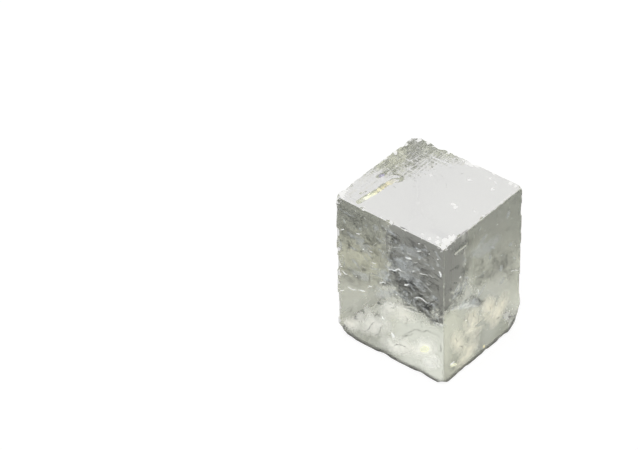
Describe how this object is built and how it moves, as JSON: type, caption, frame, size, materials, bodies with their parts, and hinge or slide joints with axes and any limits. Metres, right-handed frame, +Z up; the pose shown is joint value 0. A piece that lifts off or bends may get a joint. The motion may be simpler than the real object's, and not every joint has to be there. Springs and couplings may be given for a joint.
{
  "type": "optical calcite crystal",
  "caption": "Clear cleavage rhomb of calcite: six parallelogram faces, nicked and chipped edges, a worn base, the back of the top splintered, standing on one face.",
  "frame": {"origin": "on the resting plane, under the middle of the crystal's box", "axes": "+Z up; -Y towards the upright edge where three obtuse face angles meet at the top, so the crystal leans towards +Y"},
  "size_m": [0.051, 0.0546, 0.0416],
  "materials": {
    "clear_calcite": "clear, glossy cleavage faces with bruised, chipped edges"
  },
  "bodies": {
    "root": {"calcite_rhomb": "clear_calcite"}
  },
  "joints": []
}
